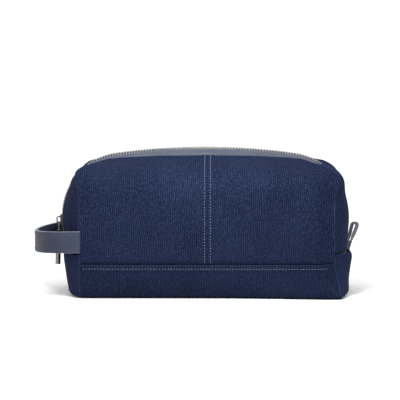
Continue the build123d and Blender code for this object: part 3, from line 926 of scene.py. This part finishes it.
def swept_band(name, path, facing, width_dir, width, thick, material, offset=0.0, corner=0.45):
    """A flat strap: a rounded rectangle swept along path; facing is the way its outer face looks."""
    ring = []
    w, t = width / 2, thick / 2
    in_w, in_t = w - corner, t - corner
    for cx, cy, start in ((in_w, in_t, 0), (-in_w, in_t, 90), (-in_w, -in_t, 180), (in_w, -in_t, 270)):
        for k in range(4):
            turn = math.radians(start + 30 * k)
            ring.append((cx + corner * math.cos(turn), cy + corner * math.sin(turn)))
        if start in (0, 180):
            flip = 1 if start == 0 else -1
            for a in np.linspace(0, 1, 10)[1:-1]:
                ring.append((flip * (w - corner) * (1 - 2 * a), flip * t))
    ring = np.array(ring)
    along = lengths(path)
    verts, cloth = [], []
    for centre, face, wide, c in zip(path, facing, np.broadcast_to(width_dir, path.shape), along):
        for a, b in ring:
            verts.append(centre + wide * a + face * (b + offset))
            cloth.append((a, c, width / 2 - abs(a)))
    count = len(ring)
    faces = []
    for i in range(len(path) - 1):
        for j in range(count):
            k = (j + 1) % count
            faces.append((i * count + j, i * count + k, (i + 1) * count + k, (i + 1) * count + j))
    faces.append(tuple(range(count))[::-1])
    faces.append(tuple(range((len(path) - 1) * count, len(path) * count)))
    return orient(new_object(name, verts, faces, material, cloth))


def build_strap():
    """The wrist strap: two leather layers in a loop between the left corner seams, drooping a little."""
    pivot_x, reach, half_y, bend_y, width, layer = 116.5, 40.0, 59.2, -12.0, 19.2, 1.4
    turn = np.linspace(-0.5 * math.pi, 0.5 * math.pi, 150)
    droop = 2.3 * np.cos(turn) ** 1.5
    quarter = np.where(turn < 0, half_y + bend_y, half_y - bend_y)
    path = np.stack([-pivot_x - reach * np.cos(turn), bend_y + quarter * np.sin(turn), 51.6 - droop], -1)
    tuck = np.array([[3.6, 1.3, 0], [2.8, 0.75, 0], [1.8, 0.3, 0], [0.9, 0.08, 0]])
    path = np.vstack([path[0] + tuck, path, path[-1] + tuck[::-1] * np.array([1, -1, 1])])
    face = np.cross(np.gradient(path, axis=0), np.array([0.0, 0.0, 1.0]))
    face /= np.linalg.norm(face, axis=1, keepdims=True)
    if face[len(face) // 2, 0] > 0:
        face = -face
    up = np.array([0.0, 0.0, 1.0])
    pieces = [
        swept_band("visual_strap_outer", path, face, up, width, layer, STRAP, layer / 2 + 0.03),
        swept_band("visual_strap_inner", path, face, up, width, layer, STRAP, -layer / 2 - 0.03),
    ]
    rims = []
    for edge in (-1, 1):
        rim_path = path + up * edge * (width / 2 - 0.15)
        name = f"strap_rim_{edge}"
        rims.append(swept_band(name, rim_path, face, up, 0.7, 2 * layer - 0.3, EDGE_PAINT, 0.0, 0.3))
    rows = []
    for outward, lift in ((1, layer + 0.02), (-1, -layer - 0.02)):
        for edge in (-1, 1):
            rows.append((path + face * lift + up * edge * (width / 2 - 2.6), face * outward))
    thread = stitch_rows("stitches_strap", rows, DARK_THREAD, width=0.6, height=0.12)
    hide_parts("strap_outer", "strap_anchor_front", "strap_anchor_back")
    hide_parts("strap_inner")
    rims[0].name, rims[1].name = "strap_edge_lower", "strap_edge_upper"
    for piece in (*pieces, *rims, thread):
        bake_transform(piece)


def build_tab():
    """The end tab: a leather strip folded into a loop, a little twisted, its tails sewn into the end seam."""
    lean = math.radians(17.0)
    up = np.array([math.sin(lean), 0, math.cos(lean)])
    side = np.array([math.cos(lean), 0, -math.sin(lean)])
    depth = np.array([0.0, 1.0, 0.0])
    root = np.array([133.6, 0, 42.0])
    head, radius, thick = 20.6, 2.35, 1.75
    spread = [(a, 0.95 + (radius - 0.95) * ease(a / head)) for a in np.linspace(-3.0, head, 26)]
    arc = [(head + radius * math.sin(t), radius * math.cos(t)) for t in np.linspace(0, math.pi, 18)[1:-1]]
    route = np.array(spread + arc + [(a, -b) for a, b in reversed(spread)])
    twist = (math.radians(-15) * ease((route[:, 0] - 1) / 12))[:, None]
    sideways = side * np.cos(twist) + depth * np.sin(twist)
    across = depth * np.cos(twist) - side * np.sin(twist)
    path = root + up * route[:, :1] + sideways * route[:, 1:]
    face = np.cross(np.gradient(path, axis=0), across)
    face /= np.linalg.norm(face, axis=1, keepdims=True)
    if np.sum((path - root - up * head * 0.6) * face) < 0:
        face = -face
    band = swept_band("visual_tab_loop", path, face, across, 12.0, thick, STRAP, 0.0, 0.5)
    edging = (face, across, 0.6, thick - 0.2, EDGE_PAINT, 0.0, 0.28)
    rims = [
        swept_band(f"tab_edge_{name}", path + across * e * 5.9, *edging)
        for name, e in (("front", -1), ("back", 1))
    ]
    skin = path + face * (thick / 2 + 0.02)
    rows = [((skin + across * e * 3.9)[3:-3], face[3:-3]) for e in (-1, 1)]
    thread = stitch_rows("stitches_tab", rows, width=0.5, height=0.1)
    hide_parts("tab_loop")
    for piece in (band, *rims, thread):
        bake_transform(piece)


# -------------------- lining


def build_lining():
    """The lining hangs just inside the canvas: one bag-shaped half each side, over a shared floor."""
    inset, thick = 2.4, 0.6
    for side in (-1, 1):
        where = SIDE_NAME[side]
        roof_end = np.interp(-7.0, -PROFILE[PROFILE[:, 1] > 100][:, 0], PROFILE_Q[PROFILE[:, 1] > 100])
        q = profile_q(9.0) + samples(roof_end - profile_q(9.0), 3.0, (False, False))
        a = np.linspace(-1, 1, 90)
        qq, aa = np.meshgrid(q, a, indexing="ij")
        z = profile_z(qq)
        far = [edge_x(e, np.minimum(z, 128.5)) - 2.2 for e in (-1, 1)]
        x = np.where(aa < 0, aa * far[0], aa * far[1])
        p = wall_surface(side, x, qq)
        ny, nz = profile_normal(qq)
        out = np.stack([0 * ny, side * ny, nz], -1)
        ripple = 0.35 * lumps(p * np.array([1, 1, 0.5]), 26, 31) - 0.35
        p = p + out * (ripple - inset - 3.4 * ease((z - 110) / 14))[..., None]
        u, v = grid_lengths(p)
        wall = shell(f"visual_lining_{where}", p, out, u, v, thick, LINING, 0.3)
        opening(wall, side, "lining", f"lining_{where}")
        for end in (-1, 1):
            ridge_s, ridge_y = RIDGE[end]
            along = np.linspace(ZIP_HALF - 1, ridge_s.min() - 10, 46)
            b = np.linspace(0, 1, 24)
            ss, bb = np.meshgrid(end * along, b, indexing="ij")
            reach = np.interp(-np.abs(ss), -ridge_s, ridge_y) - 2.2
            y = side * (7.0 * (1 - bb) + reach * bb)
            p = end_surface(ss, y, roof=True)
            _, _, nx, nz = zip_line(ss)
            out = np.stack([nx, 0 * nx, nz], -1)
            n = normals(p)
            n = facing(n, out)
            p = p - n * (inset + 0.7)
            u, v = grid_lengths(p)
            name = f"lining_end_{where}_{END_NAME[end]}"
            opening(shell(name, p, out, u, v, thick, LINING, 0.3), side, "lining")
    xs, ys = np.linspace(-112, 112, 80), np.linspace(-55, 55, 44)
    xx, yy = np.meshgrid(xs, ys, indexing="ij")
    edge = np.minimum(112 - np.abs(xx), 55 - np.abs(yy))
    z = 3.5 + 5.5 * (1 - ease(edge / 7.0)) ** 2 + 0.25 * lumps(np.stack([xx, yy, 0 * xx], -1), 50, 41)
    p = np.stack([xx, yy, np.maximum(z, 3.2)], -1)
    out = np.zeros(p.shape)
    out[..., 2] = -1
    u, v = grid_lengths(p)
    floor = shell("visual_lining_base", p, out, u, v, thick, LINING, 0.3)
    at_rest(floor, BASE, "lining", "lining_base")
    for end in (-1, 1):
        depth = np.interp(5.0, LOW_END[end][::-1, 0], lengths(LOW_END[end])[::-1])
        q, a = np.linspace(0, depth, 22), np.linspace(-1, 1, 50)
        qq, aa = np.meshgrid(q, a, indexing="ij")
        p = low_end_surface(end, np.sign(aa), 0.97 * np.abs(aa), qq) * np.array([1.0, 0.96, 1.0])
        p[..., 0] -= end * (inset + 1.4)
        out = np.zeros(p.shape)
        out[..., 0] = end
        u, v = grid_lengths(p)
        piece = shell(f"lining_low_end_{END_NAME[end]}", p, out, u, v, thick, LINING, 0.3)
        at_rest(piece, BASE, "lining")


# -------------------- the pull, and the parts kept from the CAD


def rod(name, a, b, radius, material):
    """A short round pin from a to b, both on one line along y, with chamfered ends."""
    a, b = np.array(a, float), np.array(b, float)
    turn = np.linspace(0, 2 * math.pi, 24, endpoint=False)
    circle = np.stack([np.cos(turn), 0 * turn, np.sin(turn)], -1)
    along = (b - a) / np.linalg.norm(b - a)
    rings = [(a, 0.75), (a + along * 0.25, 1.0), (b - along * 0.25, 1.0), (b, 0.75)]
    verts = [centre + circle_point * radius * grow for centre, grow in rings for circle_point in circle]
    count = len(turn)
    faces = quads(len(rings), count)
    for first in range(0, (len(rings) - 1) * count, count):
        faces.append((first + count - 1, first, first + count, first + 2 * count - 1))
    faces += [tuple(range(count)), tuple(range(3 * count, 4 * count))]
    return merged(name, [(verts, faces)], material)


def build_pull():
    """The zip pull: a forked head round the bail, and a flat bar hanging turned towards the front."""
    pin = np.array([-136.609, 0.0, 64.014])  # the outer bar of the CAD's bail
    lean, top, tip, wide_side, thick = math.radians(2.2), 7.0, 39.0, 5.4, 2.7
    down = np.array([-math.sin(lean), 0, -math.cos(lean)])
    flat = np.array([-math.cos(lean), 0, math.sin(lean)])
    wide = np.array([0.0, 1.0, 0.0])
    run = np.linspace(top, tip, 60)
    turn = (math.radians(38) * ease((run - 9) / 12))[:, None]
    face = flat * np.cos(turn) - wide * np.sin(turn)
    across = wide * np.cos(turn) + flat * np.sin(turn)
    path = pin + down * run[:, None]
    bar = swept_band("visual_pull_bar", path, face, across, wide_side, thick, PULL_METAL)
    bar.data.materials.append(PULL_SIDES_PAINTED_SHADE)
    # the bar's narrow sides get the near-black metal: painted shade
    for polygon in bar.data.polygons:
        middle = np.array(polygon.center) * 1000
        near = int(np.argmin(np.abs(run - (middle - pin) @ down)))
        if abs(np.array(polygon.normal) @ across[near]) > 0.8:
            polygon.material_index = 1
    loop = curve([(0.7, 8.6), (1.9, 6.6), (2.2, 4.6), (2.2, 1.4), (1.6, 0.0), (0, -0.6)], 0.3)
    loop = np.vstack([loop, (loop * np.array([-1, 1]))[::-1][1:]])
    path = pin + wide * loop[:, :1] + down * loop[:, 1:]
    normal = np.broadcast_to(flat, path.shape)
    sideways = np.cross(np.gradient(path, axis=0), flat)
    sideways /= np.linalg.norm(sideways, axis=1, keepdims=True)
    head = swept_band("pull_head", path, normal, sideways, 1.2, 1.8, PULL_METAL, 0.0, 0.3)
    pin_piece = rod("pull_pin", pin - wide * 2.7, pin + wide * 2.7, 0.75, PULL_METAL)
    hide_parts("pull_tab")
    for piece in (bar, head, pin_piece):
        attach(piece, "zip_pull")


def finish_cad_parts():
    for names, material in (
        (("slider_body", "slider_bail"), SLIDER_METAL),
        (("zip_stops",), TEETH_METAL),
        (("base_board",), BOARD),
    ):
        for name in names:
            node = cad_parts[name]
            for slot in node.material_slots:
                slot.material = material
            if not node.material_slots:
                node.data.materials.append(material)


# -------------------- studio


def soft_light(name, at, aim, size, power):
    light = bpy.data.lights.new(name, "AREA")
    light.shape, light.size, light.energy = "SQUARE", size, power
    lamp = bpy.data.objects.new(name, light)
    bpy.context.scene.collection.objects.link(lamp)
    lamp.location = at
    lamp.visible_camera = False
    look_at(lamp, aim)


def look_at(thing, aim):
    direction = Vector(aim) - Vector(thing.location)
    thing.rotation_euler = direction.to_track_quat("-Z", "Y").to_euler()


def build_studio():
    bpy.context.scene.view_settings.view_transform = "Standard"
    material = Nodes("paper_floor", 0.9, Specular_IOR_Level=0.0)
    haze = material.noise(material.point((0.004, 0.004, 0.004)), 1.0, 2.0)
    material.colour(material.mix(haze, (0.97, 0.97, 0.97), (0.985, 0.985, 0.985)))
    corners = [(-9000, -4000, 0), (9000, -4000, 0), (9000, 9000, 0), (-9000, 9000, 0)]
    floor = new_object("floor", corners, [(0, 1, 2, 3)], material.material)
    floor.location.z = -0.0004
    world = bpy.data.worlds.new("studio")
    bpy.context.scene.world = world
    world.use_nodes = True
    background = world.node_tree.nodes["Background"]
    background.inputs["Color"].default_value = (1.0, 1.0, 1.0, 1.0)
    background.inputs["Strength"].default_value = 1.08
    soft_light("top_light", (-0.2, -0.3, 1.5), (0, 0, 0.05), 1.2, 3)
    soft_light("front_light", (-0.005, -0.22, 0.30), (-0.005, 0, 0.09), 0.14, 1.6)


def build_camera():
    azimuth, elevation, distance = math.radians(0.5), math.radians(4.6), 1.559
    aim = (-0.0048, 0.0, 0.0852)
    lens = bpy.data.cameras.new("camera")
    lens.sensor_width = 36.0
    lens.lens = 18.0 / math.tan(math.radians(13.67 / 2))
    camera = bpy.data.objects.new("camera", lens)
    bpy.context.scene.collection.objects.link(camera)
    flat = distance * math.cos(elevation)
    camera.location = (
        aim[0] + flat * math.sin(azimuth),
        aim[1] - flat * math.cos(azimuth),
        aim[2] + distance * math.sin(elevation),
    )
    look_at(camera, aim)
    bpy.context.scene.camera = camera


build_panels()
build_band()
build_end_panels()
build_lower_ends()
build_zip()
build_panel_stitches()
build_facing_stitches()
build_strap()
build_tab()
build_lining()
build_pull()
finish_cad_parts()
build_studio()
build_camera()
